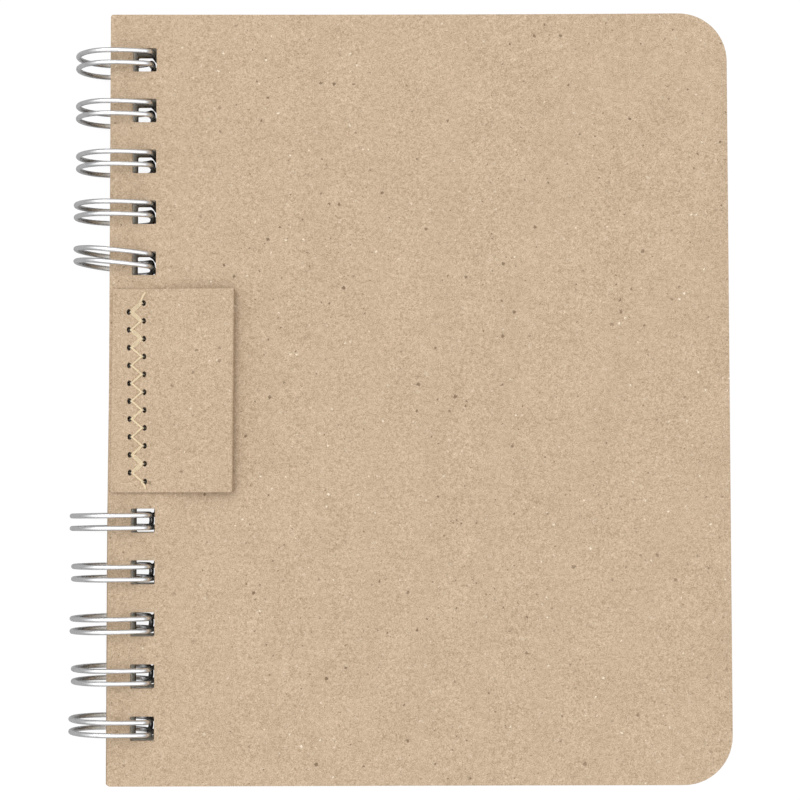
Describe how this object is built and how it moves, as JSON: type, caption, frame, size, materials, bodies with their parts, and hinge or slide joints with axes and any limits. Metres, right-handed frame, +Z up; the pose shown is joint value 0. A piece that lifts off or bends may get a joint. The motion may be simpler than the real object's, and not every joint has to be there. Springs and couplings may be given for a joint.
{
  "type": "wire-bound sketchbook",
  "caption": "Pocket sketchbook with kraft board covers and paper sheets that turn on twin-loop wires, and a sewn pen loop on the front.",
  "frame": {"origin": "middle of the bounding box, on the surface that the book lies on", "axes": "+X from the wire-bound spine to the fore edge, +Y from foot to head, +Z up out of the front cover"},
  "size_m": [0.1088, 0.127, 0.0129],
  "materials": {
    "cover_board": "uncoated recycled kraft board, matt, with flecks and fibres",
    "strip_board": "uncoated recycled kraft board, matt, thinner than the covers",
    "sheet_paper": "off-white sketch paper, matt, slight tooth",
    "wire": "bright drawn steel wire",
    "thread": "undyed cotton sewing thread, two plies"
  },
  "bodies": {
    "book": {"back_cover": "cover_board", "upper_wire": "wire", "lower_wire": "wire", "sheet_19": "sheet_paper", "sheet_20": "sheet_paper", "sheet_21": "sheet_paper", "sheet_22": "sheet_paper", "sheet_23": "sheet_paper", "sheet_24": "sheet_paper", "sheet_25": "sheet_paper", "sheet_26": "sheet_paper", "sheet_27": "sheet_paper", "sheet_28": "sheet_paper", "sheet_29": "sheet_paper", "sheet_30": "sheet_paper", "sheet_31": "sheet_paper", "sheet_32": "sheet_paper", "sheet_33": "sheet_paper", "sheet_34": "sheet_paper", "sheet_35": "sheet_paper", "sheet_36": "sheet_paper", "sheet_37": "sheet_paper", "sheet_38": "sheet_paper", "sheet_39": "sheet_paper", "sheet_40": "sheet_paper"},
    "front_cover": {"front_cover": "cover_board", "pen_loop": "strip_board", "needle_thread": "thread", "bobbin_thread": "thread"},
    "leaves_1": {"sheet_01": "sheet_paper", "sheet_02": "sheet_paper", "sheet_03": "sheet_paper", "sheet_04": "sheet_paper"},
    "leaves_2": {"sheet_05": "sheet_paper", "sheet_06": "sheet_paper", "sheet_07": "sheet_paper", "sheet_08": "sheet_paper"},
    "leaves_3": {"sheet_09": "sheet_paper", "sheet_10": "sheet_paper", "sheet_11": "sheet_paper", "sheet_12": "sheet_paper"},
    "leaves_4": {"sheet_13": "sheet_paper", "sheet_14": "sheet_paper", "sheet_15": "sheet_paper"},
    "leaf_standing": {"sheet_16": "sheet_paper"},
    "leaves_5": {"sheet_17": "sheet_paper", "sheet_18": "sheet_paper"}
  },
  "joints": [
    {"name": "cover_turn", "type": "hinge", "parent": "book", "child": "front_cover", "pos_m": [-0.0479, 0, 0.00647], "axis": [0, -1, 0], "range_deg": [0, 182]},
    {"name": "leaves_1_turn", "type": "hinge", "parent": "book", "child": "leaves_1", "pos_m": [-0.0479, 0, 0.00647], "axis": [0, -1, 0], "range_deg": [0, 180.68]},
    {"name": "leaves_2_turn", "type": "hinge", "parent": "book", "child": "leaves_2", "pos_m": [-0.0479, 0, 0.00647], "axis": [0, -1, 0], "range_deg": [0, 178.86]},
    {"name": "leaves_3_turn", "type": "hinge", "parent": "book", "child": "leaves_3", "pos_m": [-0.0479, 0, 0.00647], "axis": [0, -1, 0], "range_deg": [0, 177.04]},
    {"name": "leaves_4_turn", "type": "hinge", "parent": "book", "child": "leaves_4", "pos_m": [-0.0479, 0, 0.00647], "axis": [0, -1, 0], "range_deg": [0, 175.22]},
    {"name": "leaf_standing_turn", "type": "hinge", "parent": "book", "child": "leaf_standing", "pos_m": [-0.0479, 0, 0.00647], "axis": [0, -1, 0], "range_deg": [0, 91.5]},
    {"name": "leaves_5_turn", "type": "hinge", "parent": "book", "child": "leaves_5", "pos_m": [-0.0479, 0, 0.00647], "axis": [0, -1, 0], "range_deg": [0, 4.14]}
  ],
  "couplings": [
    {"joint": "leaves_1_turn", "follows": "cover_turn", "ratio": 0.99},
    {"joint": "leaves_2_turn", "follows": "cover_turn", "ratio": 0.98},
    {"joint": "leaves_3_turn", "follows": "cover_turn", "ratio": 0.97},
    {"joint": "leaves_4_turn", "follows": "cover_turn", "ratio": 0.96},
    {"joint": "leaf_standing_turn", "follows": "cover_turn", "ratio": 0.5},
    {"joint": "leaves_5_turn", "follows": "cover_turn", "ratio": 0.02}
  ]
}
